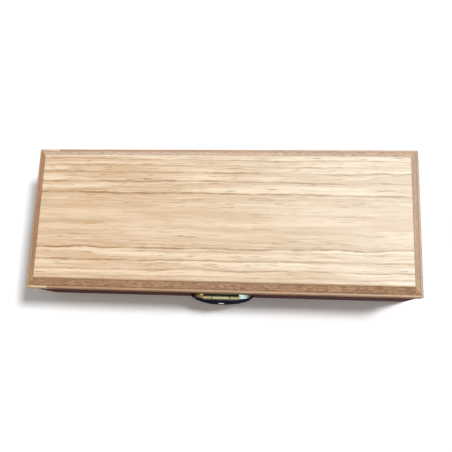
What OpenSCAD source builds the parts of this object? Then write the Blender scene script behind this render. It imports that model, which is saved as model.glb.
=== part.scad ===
// Presentation box for a folding knife: a bevelled, veneered lid with light cap rails
// over a dark stained case, two butt hinges at the back and a domed snap latch in front.
// Millimetres. Origin at the centre of the underside, X along the length to the right,
// Y towards the hinges, Z up. The box is drawn closed.

/* [Case] */
// Length over the light cap rails, left to right
length = 220; // [170:1:320]
// Depth over the light cap rails, front to back
depth = 82.6; // [76:0.2:160]
// Height of the dark lower case, up to the split
body_h = 25; // [24:0.5:60]
// Thickness of the dark stained rails of the case and the lid
rail_t = 11.5; // [10.5:0.5:14]
// Thickness of the bottom panel
bottom_t = 3; // [2:0.5:4]
// Width of the rebate that the bottom panel sits in
rebate_w = 6; // [3:0.5:8]
// Radius on the upright corners of the case and the lid
corner_r = 0.6; // [0.2:0.1:2]

/* [Lid] */
// Height of the dark lower rails of the lid
lid_rail_h = 9; // [9:0.5:30]
// Height of the light cap rails
cap_h = 7.2; // [5:0.1:14]
// Width of the light cap rails, seen from above
cap_rail_w = 12; // [8:0.5:14]
// How far the light cap stands out past the dark rails
cap_over = 0.5; // [0.1:0.1:1.5]
// Thickness of the bevelled core board
core_t = 4.2; // [3:0.1:8]
// Thickness of the veneer on the core board
veneer_t = 0.6; // [0.3:0.1:1.2]
// Slope of the bevel, in degrees from the horizontal
bevel_angle = 46; // [30:1:70]
// Width of the flat ledge between the bevel and the cap's edge
ledge_w = 1.2; // [0.4:0.1:3]

/* [Lining] */
// Clearance between the linings and the rails round them
lining_gap = 0.3; // [0.1:0.1:1]
// Thickness of the card that carries the lid cushion
card_t = 1.5; // [0.8:0.1:3]
// Thickness of the lid cushion at its edge
cushion_edge_t = 2.5; // [1.5:0.1:4]
// Thickness of the lid cushion at its crown
cushion_crown_t = 6.5; // [5:0.1:8]
// How far the lid cushion's sides draw in at its face and its back
cushion_draw_in = 1.2; // [0.4:0.1:2]
// Thickness of the foam base under the recess
foam_base_t = 6.5; // [3:0.5:10]
// Thickness of the foam top that the recess is cut through
foam_top_t = 12; // [6:0.5:13]
// Length of the knife recess
recess_l = 150; // [60:1:150]
// Width of the knife recess
recess_w = 26; // [14:1:34]
// Diameter of the finger relief across the recess
finger_d = 42; // [36:1:50]

/* [Hinges] */
// Distance from each end of the case to the middle of its hinge
hinge_inset = 42; // [28:1:70]
// Length of each hinge
hinge_l = 22; // [18:1:30]
// Width of a hinge leaf, in from the back of the case
leaf_w = 9; // [7:0.5:10]
// Thickness of a hinge leaf
leaf_t = 1; // [0.8:0.1:1.2]
// Outer diameter of the hinge barrel
barrel_d = 3; // [2.8:0.1:4]
// Diameter of the hinge pin
hinge_pin_d = 1.5; // [1:0.1:1.8]
// Gap between the back of the rails and the hinge barrel
barrel_gap = 0.15; // [0.1:0.05:0.5]
// Number of knuckles, shared between the two leaves
knuckle_n = 5; // [3:2:7]
// Play of a moving knuckle on its pin, on the radius
pin_play = 0.05; // [0.02:0.01:0.08]
// Gap between neighbouring knuckles
knuckle_gap = 0.15; // [0.1:0.05:0.4]
// Clearance of a leaf in its mortise
mortise_gap = 0.1; // [0.05:0.05:0.3]
// Distance between the two screws of a leaf
screw_pitch = 12; // [8:0.5:13]
// Diameter of a screw's head
screw_head_d = 3.4; // [3:0.1:4]
// Depth of a screw's countersunk head
screw_head_h = 0.8; // [0.5:0.1:0.8]
// Diameter of a screw's shank
screw_d = 1.8; // [1.4:0.1:2.2]
// Length of a screw below the face of its leaf
screw_l = 7; // [5:0.5:8]

/* [Latch] */
// Width of the domed flap
flap_w = 37; // [34:0.5:44]
// How far the flap stands out from the case
flap_out = 6; // [5.6:0.1:6.4]
// Height of the flap above its widest line
flap_up = 6.5; // [6.3:0.1:7]
// Height of the flap below its widest line
flap_down = 8; // [7:0.5:9]
// Thickness of the flap's sheet
flap_t = 0.7; // [0.5:0.1:0.8]
// Gap between the back of the flap and the case
flap_back_gap = 0.25; // [0.2:0.05:0.5]
// Height of the latch's pin above the split
latch_axis_up = 1.6; // [1.5:0.1:2]
// Height of the latch's pin above the flap's widest line
latch_axis_rise = 6.2; // [6:0.1:6.4]
// Outer diameter of the latch's barrel
latch_barrel_d = 2.8; // [2.6:0.1:3]
// Length of the latch's barrel
latch_barrel_l = 20.4; // [18:0.2:22]
// Length of the flap's knuckle in the middle of the barrel
flap_knuckle_l = 9.8; // [8:0.2:12]
// Diameter of the latch's pin
latch_pin_d = 1.2; // [0.8:0.1:1.4]
// Gap between the latch's knuckles
latch_knuckle_gap = 0.3; // [0.15:0.05:0.5]
// How far above the pin a side knuckle stays joined to its plate
knuckle_web = 0.5; // [0.3:0.1:0.8]
// Thickness of the lid plate and the keeper
plate_t = 0.8; // [0.6:0.1:1]
// Height of the lid plate above the pin
plate_h = 6.6; // [5.5:0.1:7]
// Radius on the corners of the lid plate and the keeper
plate_corner_r = 1.2; // [0.5:0.1:2]
// Width of the keeper
keeper_w = 16; // [14:0.5:18]
// Height of the keeper
keeper_h = 9; // [8:0.5:10]
// Distance from the split down to the keeper
keeper_drop = 2; // [1.5:0.5:3]
// Radius of the keeper's bead
bead_r = 1.1; // [0.8:0.1:1.2]
// Length of the keeper's bead
bead_l = 9; // [6:0.5:12]
// Distance from the keeper's lower edge up to the bead
bead_edge = 0.3; // [0.1:0.1:1]
// Clearance between the flap's rim and the bead
snap_gap = 0.15; // [0.1:0.05:0.3]
// Width of the thumb nib on the flap
nib_w = 3.2; // [2:0.2:6]
// Diameter of the thumb nib
nib_d = 1.4; // [1.2:0.1:1.6]
// Rise of the thumb nib above the flap's widest line
nib_up = 2.4; // [1:0.2:2.8]
// Distance of the latch's nails from the edges of their plates
nail_edge = 2.5; // [2:0.1:3]
// Diameter of the latch's nails
nail_d = 1; // [0.8:0.1:1.2]
// Diameter of the nails' domed heads
nail_head_d = 2.2; // [1.8:0.1:2.4]
// Height of the nails' domed heads
nail_head_h = 0.5; // [0.3:0.1:0.6]
// Length of a nail below its head
nail_l = 7; // [5:0.5:9]

/* [Hidden] */

// Facets of a full turn in the preview; the built surfaces are true ones
$fn = 64;
// Overlap of cutting shapes past the faces that they cut
eps = 1;

board_l = length - 2 * ledge_w;
board_d = depth - 2 * ledge_w;
board_t = core_t + veneer_t;

case_l = length - 2 * cap_over;
case_d = depth - 2 * cap_over;
inner_l = case_l - 2 * rail_t;
inner_d = case_d - 2 * rail_t;
front_y = -case_d / 2;
back_y = case_d / 2;

cap_z = body_h + lid_rail_h;
board_z = cap_z + cap_h;

lining_l = inner_l - 2 * lining_gap;
lining_d = inner_d - 2 * lining_gap;
cap_inner_l = length - 2 * cap_rail_w;
cap_inner_d = depth - 2 * cap_rail_w;
card_l = min(inner_l, cap_inner_l) - 2 * lining_gap;
card_d = min(inner_d, cap_inner_d) - 2 * lining_gap;
// Steps of the cushion's grid along its length and its depth
cushion_nx = 20;
cushion_ny = 10;

hinge_x = case_l / 2 - hinge_inset;
hinge_y = back_y + barrel_gap + barrel_d / 2;
knuckle_l = (hinge_l - (knuckle_n - 1) * knuckle_gap) / knuckle_n;
screw_y = back_y - leaf_w / 2;

latch_y = front_y - plate_t - latch_barrel_d / 2;
latch_z = body_h + latch_axis_up;
dome_z = latch_z - latch_axis_rise;
side_knuckle_l = (latch_barrel_l - flap_knuckle_l) / 2 - latch_knuckle_gap;
keeper_z = body_h - keeper_drop - keeper_h;
bead_z = keeper_z + bead_r + bead_edge;
rim_y = front_y - plate_t - bead_r - snap_gap;
plate_nail_x = latch_barrel_l / 2 - nail_edge;
plate_nail_z = latch_z + plate_h - nail_edge;
keeper_nail_x = keeper_w / 2 - nail_edge;
keeper_nail_z = keeper_z + keeper_h - nail_edge;

VENEER = "burlywood";
CORE = "peru";
LIGHT_WOOD = "tan";
DARK_WOOD = "#443130";
BRASS = "goldenrod";
CARD = "dimgray";
LINING = "ivory";
FOAM = "#202024";

// A slice of the bevelled board between two heights above the cap rails
module board_slice(low, high) {
  inset_low = low / tan(bevel_angle);
  inset_high = high / tan(bevel_angle);
  intersection() {
    rotate([90, 0, 0])
      linear_extrude(board_d + 2 * eps, center = true)
        slice_outline(board_l, low, high, inset_low, inset_high);
    rotate([90, 0, 90])
      linear_extrude(board_l + 2 * eps, center = true)
        slice_outline(board_d, low, high, inset_low, inset_high);
  }
}

module slice_outline(span, low, high, inset_low, inset_high) {
  polygon([
    [-span / 2 + inset_low, low], [span / 2 - inset_low, low],
    [span / 2 - inset_high, high], [-span / 2 + inset_high, high]
  ]);
}

module lid_core() {
  color(CORE)
    translate([0, 0, board_z])
      board_slice(0, core_t);
}

module lid_veneer() {
  color(VENEER)
    translate([0, 0, board_z])
      board_slice(core_t, board_t);
}

// An end rail that runs the whole depth, with its two outer corners rounded;
// side is -1 for the left end and 1 for the right end
module end_rail(side, over_l, over_d, width, height) {
  linear_extrude(height)
    mirror([side < 0 ? 1 : 0, 0])
      translate([over_l / 2 - width, 0]) {
        translate([0, -over_d / 2])
          square([width - corner_r, over_d]);
        translate([0, -over_d / 2 + corner_r])
          square([width, over_d - 2 * corner_r]);
        for (end = [-1, 1])
          translate([width - corner_r, end * (over_d / 2 - corner_r)])
            circle(corner_r);
      }
}

// A front or back rail that fits between the end rails;
// side is -1 for the front and 1 for the back
module long_rail(side, over_l, over_d, width, end_width, height) {
  y = side < 0 ? -over_d / 2 : over_d / 2 - width;
  translate([-over_l / 2 + end_width, y, 0])
    cube([over_l - 2 * end_width, width, height]);
}

module cap_end(side) {
  color(LIGHT_WOOD)
    translate([0, 0, cap_z])
      end_rail(side, length, depth, cap_rail_w, cap_h);
}

module cap_rail(side) {
  color(LIGHT_WOOD)
    translate([0, 0, cap_z])
      long_rail(side, length, depth, cap_rail_w, cap_rail_w, cap_h);
}

module lid_end(side) {
  color(DARK_WOOD)
    translate([0, 0, body_h])
      end_rail(side, case_l, case_d, rail_t, lid_rail_h);
}

module lid_rail_front() {
  color(DARK_WOOD)
    difference() {
      translate([0, 0, body_h])
        long_rail(-1, case_l, case_d, rail_t, rail_t, lid_rail_h);
      lid_nail_places()
        nail_hole();
    }
}

module lid_rail_back() {
  color(DARK_WOOD)
    difference() {
      translate([0, 0, body_h])
        long_rail(1, case_l, case_d, rail_t, rail_t, lid_rail_h);
      hinge_places()
        mortise(1);
      screw_places()
        screw_hole(1);
    }
}

module body_end(side) {
  color(DARK_WOOD)
    difference() {
      end_rail(side, case_l, case_d, rail_t, body_h);
      bottom_rebate();
    }
}

module body_rail_front() {
  color(DARK_WOOD)
    difference() {
      long_rail(-1, case_l, case_d, rail_t, rail_t, body_h);
      bottom_rebate();
      keeper_nail_places()
        nail_hole();
    }
}

module body_rail_back() {
  color(DARK_WOOD)
    difference() {
      long_rail(1, case_l, case_d, rail_t, rail_t, body_h);
      bottom_rebate();
      hinge_places()
        mortise(-1);
      screw_places()
        screw_hole(-1);
    }
}

// The space that the bottom panel takes out of the four rails
module bottom_rebate() {
  panel_l = inner_l + 2 * rebate_w;
  panel_d = inner_d + 2 * rebate_w;
  translate([-panel_l / 2, -panel_d / 2, -eps])
    cube([panel_l, panel_d, bottom_t + eps]);
}

module body_bottom() {
  panel_l = inner_l + 2 * rebate_w - 2 * mortise_gap;
  panel_d = inner_d + 2 * rebate_w - 2 * mortise_gap;
  color(DARK_WOOD)
    translate([-panel_l / 2, -panel_d / 2, 0])
      cube([panel_l, panel_d, bottom_t]);
}

module insert_foam_base() {
  color(FOAM)
    translate([-lining_l / 2, -lining_d / 2, bottom_t])
      cube([lining_l, lining_d, foam_base_t]);
}

// The foam top has a long recess with round ends and a round finger relief across it
module insert_foam_top() {
  color(FOAM)
    translate([0, 0, bottom_t + foam_base_t])
      linear_extrude(foam_top_t)
        difference() {
          square([lining_l, lining_d], center = true);
          square([recess_l - recess_w, recess_w], center = true);
          for (end = [-1, 1])
            translate([end * (recess_l - recess_w) / 2, 0])
              circle(recess_w / 2);
          circle(finger_d / 2);
        }
}

module lid_lining_card() {
  color(CARD)
    translate([-card_l / 2, -card_d / 2, board_z - card_t])
      cube([card_l, card_d, card_t]);
}

// Depth of the cushion's face below the card, at a place given from -1 to 1
// along and across it
function cushion_face(u, v) =
  cushion_edge_t
  + (cushion_crown_t - cushion_edge_t)
    * pow(1 - pow(abs(u), 8), 0.5) * pow(1 - pow(abs(v), 4), 0.5);

// The face's points in rows, closer together where the sides turn down
function cushion_grid() = [
  for (j = [0 : cushion_ny], i = [0 : cushion_nx])
    let (
      u = -cos(180 * i / cushion_nx),
      v = -cos(180 * j / cushion_ny)
    )
      [
        u * (card_l / 2 - cushion_draw_in),
        v * (card_d / 2 - cushion_draw_in),
        -cushion_face(u, v)
      ]
];

// The grid's outline, once round, as indices into the grid
function grid_outline() = concat(
  [for (i = [0 : cushion_nx - 1]) i],
  [for (j = [0 : cushion_ny - 1]) cushion_nx + j * (cushion_nx + 1)],
  [for (i = [cushion_nx : -1 : 1]) cushion_ny * (cushion_nx + 1) + i],
  [for (j = [cushion_ny : -1 : 1]) j * (cushion_nx + 1)]
);

// The padded face hangs below the card: a grid of facets, then sides that swell out
// and draw in again to the card, then the flat back against the card
module lid_cushion() {
  face = cushion_grid();
  outline = grid_outline();
  n = len(outline);
  swell_x = (card_l / 2) / (card_l / 2 - cushion_draw_in);
  swell_y = (card_d / 2) / (card_d / 2 - cushion_draw_in);
  swell = [
    for (k = outline)
      [face[k][0] * swell_x, face[k][1] * swell_y, -cushion_edge_t / 2]
  ];
  back = [for (k = outline) [face[k][0], face[k][1], 0]];
  first_swell = len(face);
  first_back = first_swell + n;
  centre = first_back + n;
  row = cushion_nx + 1;
  face_tris = [
    for (j = [0 : cushion_ny - 1], i = [0 : cushion_nx - 1], half = [0, 1])
      let (a = j * row + i, b = a + 1, c = a + row, d = c + 1)
        half == 0 ? [a, b, d] : [a, d, c]
  ];
  side_tris = [
    for (k = [0 : n - 1], part = [0 : 4])
      let (
        next = (k + 1) % n,
        a = outline[k], b = outline[next],
        s = first_swell + k, t = first_swell + next,
        p = first_back + k, q = first_back + next
      )
        part == 0 ? [b, a, s]
        : part == 1 ? [b, s, t]
        : part == 2 ? [t, s, p]
        : part == 3 ? [t, p, q]
        : [q, p, centre]
  ];
  color(LINING)
    translate([0, 0, board_z - card_t])
      polyhedron(
        points = concat(face, swell, back, [[0, 0, 0]]),
        faces = concat(face_tris, side_tris),
        convexity = 4
      );
}

// Copies its child at the middle of both hinges, on the split at the back of the case
module hinge_places() {
  for (side = [-1, 1])
    translate([side * hinge_x, 0, 0])
      children();
}

// The recess for one leaf; way is 1 for the lid's rail and -1 for the case's rail
module mortise(way) {
  over = hinge_l / 2 + mortise_gap;
  inner_y = back_y - leaf_w - mortise_gap;
  z = way > 0 ? body_h - eps : body_h - leaf_t;
  translate([-over, inner_y, z])
    cube([2 * over, back_y - inner_y + eps, leaf_t + eps]);
}

// One leaf with every second knuckle; way is 1 for the lid and -1 for the case.
// The case's leaf has the outer knuckles and holds the pin fast.
module hinge_leaf(way) {
  first = way > 0 ? 1 : 0;
  bore_r = hinge_pin_d / 2 + (way > 0 ? pin_play : 0);
  z = way > 0 ? body_h : body_h - leaf_t;
  color(BRASS)
    difference() {
      union() {
        translate([-hinge_l / 2, back_y - leaf_w, z])
          cube([hinge_l, leaf_w, leaf_t]);
        for (k = [first : 2 : knuckle_n - 1])
          translate([-hinge_l / 2 + k * (knuckle_l + knuckle_gap), 0, 0]) {
            translate([0, back_y - eps, z])
              cube([knuckle_l, hinge_y - back_y + eps, leaf_t]);
            translate([0, hinge_y, body_h])
              rotate([0, 90, 0])
                cylinder(h = knuckle_l, d = barrel_d);
          }
      }
      translate([-hinge_l / 2 - eps, hinge_y, body_h])
        rotate([0, 90, 0])
          cylinder(h = hinge_l + 2 * eps, r = bore_r);
      for (side = [-1, 1])
        translate([side * screw_pitch / 2, screw_y, body_h])
          mirror([0, 0, way > 0 ? 0 : 1])
            countersink();
    }
}

// The hole through a leaf, widest at the leaf's face
module countersink() {
  translate([0, 0, -eps])
    cylinder(h = leaf_t + 2 * eps, d = screw_d + 2 * pin_play);
  cylinder(h = screw_head_h, d1 = screw_head_d, d2 = screw_d);
  translate([0, 0, -eps])
    cylinder(h = eps, d = screw_head_d);
}

module hinge_pin() {
  color(BRASS)
    translate([-hinge_l / 2, hinge_y, body_h])
      rotate([0, 90, 0])
        cylinder(h = hinge_l, d = hinge_pin_d);
}

// Copies its child at the four screws of the lid's leaves or of the case's leaves
module screw_places() {
  hinge_places()
    for (side = [-1, 1])
      translate([side * screw_pitch / 2, screw_y, body_h])
        children();
}

module screw_hole(way) {
  mirror([0, 0, way > 0 ? 0 : 1])
    translate([0, 0, -eps])
      cylinder(h = screw_l + eps, d = screw_d);
}

// A countersunk wood screw with a slot, its face on the split
module screw(way) {
  slot_w = 0.5;
  slot_h = 0.3;
  tip_l = 2;
  mirror([0, 0, way > 0 ? 0 : 1])
    difference() {
      union() {
        cylinder(h = screw_head_h, d1 = screw_head_d, d2 = screw_d);
        cylinder(h = screw_l - tip_l, d = screw_d);
        translate([0, 0, screw_l - tip_l])
          cylinder(h = tip_l, d1 = screw_d, d2 = screw_d / 4);
      }
      translate([-screw_head_d / 2 - eps, -slot_w / 2, -eps])
        cube([screw_head_d + 2 * eps, slot_w, slot_h + eps]);
    }
}

module hinge_screws(way) {
  color(BRASS)
    screw_places()
      screw(way);
}

module lid_nail_places() {
  for (side = [-1, 1])
    translate([side * plate_nail_x, front_y, plate_nail_z])
      children();
}

module keeper_nail_places() {
  for (side = [-1, 1])
    translate([side * keeper_nail_x, front_y, keeper_nail_z])
      children();
}

// A nail's hole from the front face inwards, through the plate as well
module nail_hole() {
  rotate([-90, 0, 0])
    translate([0, 0, -plate_t - eps])
      cylinder(h = nail_l + eps, d = nail_d);
}

// A round-headed nail, its head on the plate's front
module nail() {
  head_r = (pow(nail_head_d / 2, 2) + pow(nail_head_h, 2)) / (2 * nail_head_h);
  tip_l = 1.2;
  rotate([-90, 0, 0])
    translate([0, 0, -plate_t]) {
      cylinder(h = nail_l - tip_l, d = nail_d);
      translate([0, 0, nail_l - tip_l])
        cylinder(h = tip_l, d1 = nail_d, d2 = nail_d / 4);
      intersection() {
        translate([0, 0, head_r - nail_head_h])
          sphere(head_r);
        translate([0, 0, -nail_head_h])
          cylinder(h = nail_head_h, d = nail_head_d + eps);
      }
    }
}

// A flat plate on the case's front with its four corners rounded
module rounded_plate(width, height, r) {
  rotate([90, 0, 0])
    linear_extrude(plate_t) {
      translate([-width / 2 + r, 0])
        square([width - 2 * r, height]);
      translate([-width / 2, r])
        square([width, height - 2 * r]);
      for (x = [-1, 1], z = [r, height - r])
        translate([x * (width / 2 - r), z])
          circle(r);
    }
}

// The plate on the lid: its lower edge rolls forward over the pin in two side knuckles
module latch_lid_plate() {
  bore_r = latch_pin_d / 2;
  color(BRASS)
    difference() {
      union() {
        translate([0, front_y, latch_z])
          rounded_plate(latch_barrel_l, plate_h, plate_corner_r);
        for (side = [-1, 1])
          translate([side * (latch_barrel_l - side_knuckle_l) / 2, 0, 0])
            rotate([0, 90, 0])
              translate([-latch_z, latch_y, 0])
                side_knuckle();
      }
      translate([0, latch_y, latch_z])
        rotate([0, 90, 0])
          cylinder(h = latch_barrel_l + 2 * eps, r = bore_r, center = true);
      lid_nail_places()
        nail_hole();
      flap_sweep();
    }
}

// One side knuckle about its own axis, with the squared foot of the plate behind it
// and the low web where the sheet starts to roll
module side_knuckle() {
  r = latch_barrel_d / 2;
  linear_extrude(side_knuckle_l, center = true) {
    circle(r);
    translate([-r, r])
      square([r, plate_t]);
    translate([-knuckle_web, 0])
      square([knuckle_web, r]);
  }
}

// The room that the flap's own knuckle turns in
module flap_sweep() {
  translate([0, latch_y, latch_z])
    rotate([0, 90, 0])
      cylinder(
        h = flap_knuckle_l + 2 * latch_knuckle_gap,
        d = latch_barrel_d + 2 * pin_play,
        center = true
      );
}

module latch_pin() {
  color(BRASS)
    translate([0, latch_y, latch_z])
      rotate([0, 90, 0])
        cylinder(h = latch_barrel_l, d = latch_pin_d, center = true);
}

// Half of an egg-shaped dome about its widest line, smaller by the inset all round
module half_dome(height, inset, way) {
  span = 2 * flap_w;
  intersection() {
    scale([flap_w / 2 - inset, flap_out - inset, height - inset])
      sphere(1);
    translate([-span / 2, -span / 2, way > 0 ? 0 : -span])
      cube([span, span, span]);
  }
}

module dome(inset) {
  half_dome(flap_up, inset, 1);
  half_dome(flap_down, inset, -1);
}

// The domed flap: a pressed shell, notched for the barrel, with one rolled knuckle
module latch_flap() {
  notch_x = latch_barrel_l / 2 + latch_knuckle_gap;
  notch_z = latch_z - latch_barrel_d / 2;
  bore_r = latch_pin_d / 2 + pin_play;
  span = flap_w + 2 * eps;
  color(BRASS)
    difference() {
      union() {
        difference() {
          translate([0, front_y, dome_z])
            difference() {
              dome(0);
              dome(flap_t);
            }
          translate([-span / 2, front_y - flap_back_gap, dome_z - span])
            cube([span, span, 2 * span]);
          for (side = [-1, 1])
            translate([side * (notch_x + flap_knuckle_l / 2) / 2, 0, notch_z + span / 2])
              cube([notch_x - flap_knuckle_l / 2, 4 * span, span], center = true);
          translate([0, 0, latch_z + span / 2])
            cube([span, 4 * span, span], center = true);
          translate([-notch_x, rim_y, dome_z - span])
            cube([2 * notch_x, span, span]);
        }
        translate([0, latch_y, latch_z])
          rotate([0, 90, 0])
            cylinder(h = flap_knuckle_l, d = latch_barrel_d, center = true);
        thumb_nib();
      }
      translate([0, latch_y, latch_z])
        rotate([0, 90, 0])
          cylinder(h = flap_knuckle_l + 2 * eps, r = bore_r, center = true);
    }
}

// The small raised bar on the flap's face that a thumb catches
module thumb_nib() {
  nib_y = front_y - flap_out * sqrt(1 - pow(nib_up / flap_up, 2)) + nib_d / 4;
  translate([0, nib_y, dome_z + nib_up])
    rotate([0, 90, 0])
      cylinder(h = nib_w, d = nib_d, center = true);
}

// The plate on the case with the bead that the flap's rim snaps under
module latch_keeper() {
  color(BRASS)
    difference() {
      union() {
        translate([0, front_y, keeper_z])
          rounded_plate(keeper_w, keeper_h, plate_corner_r);
        translate([0, front_y - plate_t, bead_z])
          rotate([0, 90, 0])
            intersection() {
              cylinder(h = bead_l, r = bead_r, center = true);
              translate([0, -2 * bead_r, 0])
                cube([4 * bead_r, 4 * bead_r, bead_l], center = true);
            }
      }
      keeper_nail_places()
        nail_hole();
    }
}

module latch_nails_lid() {
  color(BRASS)
    lid_nail_places()
      nail();
}

module latch_nails_body() {
  color(BRASS)
    keeper_nail_places()
      nail();
}

lid_veneer();
lid_core();
cap_rail(-1);  // cap_rail_front
cap_rail(1);  // cap_rail_back
cap_end(-1);  // cap_end_left
cap_end(1);  // cap_end_right
lid_rail_front();
lid_rail_back();
lid_end(-1);  // lid_end_left
lid_end(1);  // lid_end_right
lid_lining_card();
lid_cushion();
body_rail_front();
body_rail_back();
body_end(-1);  // body_end_left
body_end(1);  // body_end_right
body_bottom();
insert_foam_base();
insert_foam_top();
translate([-hinge_x, 0, 0]) hinge_leaf(-1);  // hinge_left_body_leaf
translate([-hinge_x, 0, 0]) hinge_leaf(1);  // hinge_left_lid_leaf
translate([-hinge_x, 0, 0]) hinge_pin();  // hinge_left_pin
translate([hinge_x, 0, 0]) hinge_leaf(-1);  // hinge_right_body_leaf
translate([hinge_x, 0, 0]) hinge_leaf(1);  // hinge_right_lid_leaf
translate([hinge_x, 0, 0]) hinge_pin();  // hinge_right_pin
hinge_screws(-1);  // hinge_screws_body
hinge_screws(1);  // hinge_screws_lid
latch_lid_plate();
latch_pin();
latch_flap();
latch_keeper();
latch_nails_lid();
latch_nails_body();
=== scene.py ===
import functools
import math

import bmesh
import bpy
from bpy.props import FloatProperty, FloatVectorProperty, IntProperty, PointerProperty
from mathutils import Euler, Matrix, Vector


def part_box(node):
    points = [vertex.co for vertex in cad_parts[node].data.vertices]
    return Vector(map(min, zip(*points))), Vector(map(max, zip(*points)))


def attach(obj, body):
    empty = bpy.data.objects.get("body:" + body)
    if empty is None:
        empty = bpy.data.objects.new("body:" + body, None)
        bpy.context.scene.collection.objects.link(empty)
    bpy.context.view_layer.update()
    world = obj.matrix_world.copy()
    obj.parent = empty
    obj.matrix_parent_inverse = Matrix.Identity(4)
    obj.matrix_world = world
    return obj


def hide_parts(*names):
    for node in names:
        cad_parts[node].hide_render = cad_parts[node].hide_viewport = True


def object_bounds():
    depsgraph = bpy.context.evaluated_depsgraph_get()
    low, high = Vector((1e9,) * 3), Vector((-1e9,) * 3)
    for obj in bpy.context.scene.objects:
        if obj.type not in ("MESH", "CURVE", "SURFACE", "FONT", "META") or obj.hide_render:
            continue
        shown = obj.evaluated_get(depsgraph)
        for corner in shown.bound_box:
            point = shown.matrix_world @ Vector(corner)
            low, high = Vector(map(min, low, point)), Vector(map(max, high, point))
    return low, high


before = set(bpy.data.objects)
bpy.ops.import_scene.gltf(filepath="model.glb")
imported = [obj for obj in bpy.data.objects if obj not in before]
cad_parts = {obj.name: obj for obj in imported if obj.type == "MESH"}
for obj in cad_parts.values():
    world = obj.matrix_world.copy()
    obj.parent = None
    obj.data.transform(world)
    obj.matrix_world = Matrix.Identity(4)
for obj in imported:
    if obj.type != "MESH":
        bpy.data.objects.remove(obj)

bl_info = {
    "name": "Presentation box",
    "version": (1, 0, 0),
    "blender": (4, 5, 0),
    "location": "View3D > Sidebar > Presentation box",
    "description": "Dresses a long wooden presentation box: lid board, rails, brass, cushion and foam insert",
    "category": "Object",
}

MM = 0.001
CAD_BOX = [list(corner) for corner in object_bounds()]
BOX_HIGH = Vector(CAD_BOX[1])
BOARD_LOW, BOARD_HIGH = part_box("lid_core")
SHEET_LOW, SHEET_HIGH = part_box("lid_veneer")
CAP_LOW, CAP_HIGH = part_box("cap_end_left")
CASE_LOW, CASE_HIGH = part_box("body_end_left")
PAD_LOW, PAD_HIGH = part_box("lid_cushion")
PIN_LOW, PIN_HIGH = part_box("latch_pin")
FLAP_LOW, FLAP_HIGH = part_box("latch_flap")
CATCH = Vector((PIN_HIGH.x, PIN_LOW.y, PIN_LOW.z))

WHITE, BLACK = Vector((1.0, 1.0, 1.0)), Vector((0.0, 0.0, 0.0))


# Sizes and colours

def shade(red, green, blue):
    """A colour given as it looks on a screen, 0 to 255, as the linear values that a shader takes."""
    shares = [value / 255 for value in (red, green, blue)]
    return tuple(((v + 0.055) / 1.055) ** 2.4 if v > 0.0404 else v / 12.92 for v in shares)


def size(name, description, value, **limits):
    """A length property in metres."""
    return FloatProperty(name=name, description=description, default=value, unit="LENGTH", precision=5,
                         **limits)


def share(name, description, value, high=1.0):
    """A plain number property from nothing up to its highest value."""
    return FloatProperty(name=name, description=description, default=value, min=0.0, max=high,
                         subtype="FACTOR")


def colour(name, description, red, green, blue):
    """A colour property."""
    return FloatVectorProperty(name=name, description=description, default=shade(red, green, blue), size=3,
                               min=0.0, max=1.0, subtype="COLOR")


class BoxWood(bpy.types.PropertyGroup):
    """Sizes and colours of the lid board, the light cap and the dark case."""
    sanding: size("Sanding", "Widest rounding of an outer edge of the wood", 0.5 * MM, min=0.0, max=2 * MM)
    ring_depth: size("Ring depth", "How far under the veneer the middle of its growth rings lies", 12 * MM)
    ring_shift: size("Ring shift", "Place of the grain's middle line towards the hinges", -2.1 * MM)
    ring_drift: share("Ring drift", "How fast the rings close in along the lid", 0.006, 0.1)
    wave: size("Grain wave", "How far the grain lines wander to either side", 1.5 * MM)
    veneer: colour("Veneer", "Palest wood between the growth rings", 246, 222, 192)
    veneer_tan: colour("Veneer tan", "Wood just inside a growth ring", 220, 186, 148)
    veneer_line: colour("Veneer line", "Dark late wood of a growth ring", 194, 140, 76)
    board: colour("Board", "Bevelled board under the veneer", 210, 164, 119)
    board_dark: colour("Board pores", "Pores and blotches of the board", 154, 107, 70)
    cap: colour("Cap", "Long grain of the cap rails", 186, 145, 106)
    cap_end: colour("Cap end grain", "Sawn ends of the cap rails", 224, 195, 158)
    case: colour("Case", "Dark stained wood of the lid's rails and the case", 102, 59, 42)


class BoxBrass(bpy.types.PropertyGroup):
    """Finish of the catch, the hinges, the nails and the screws."""
    brass: colour("Brass", "Polished brass", 219, 202, 152)
    # This colour also gives the painted shade round the catch's barrel, darkened further there.
    tarnish_and_shade: colour("Tarnish", "Brown film in the low places of the brass", 120, 92, 52)
    roughness: share("Brass roughness", "Blur of the reflections in the brass", 0.12)
    satin: share("Plate blur", "How much more the plates and hinge leaves blur their reflections", 0.28)
    worn: share("Worn fixings", "How far the screws and nails have browned", 0.5)
    joints: size("Barrel joints", "Distance between the two joints in the catch's barrel", 10.1 * MM)


class BoxLining(bpy.types.PropertyGroup):
    """Sizes and colours of the lid's cushion and the foam insert."""
    swell: size("Cushion swell", "Most that the cushion's cloth may move as it fills", 5 * MM)
    voxel: size("Cushion mesh", "Width of one face of the cushion before it is filled", 2 * MM)
    pressure: FloatProperty(name="Cushion pressure", description="Air pressure that fills the cushion",
                            default=4.0, min=0.0, max=40.0)
    frames: IntProperty(name="Cushion steps", description="Steps that the cushion takes to fill",
                        default=20, min=1, max=60)
    satin: colour("Satin", "Cloth of the lid's cushion", 236, 228, 210)
    foam: colour("Flock", "Flocked foam of the insert", 40, 38, 42)
    foam_edge: size("Foam edge", "Rounding of the foam's cut edges", 1.2 * MM)
    card: colour("Card", "Card behind the cushion", 120, 108, 92)


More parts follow.
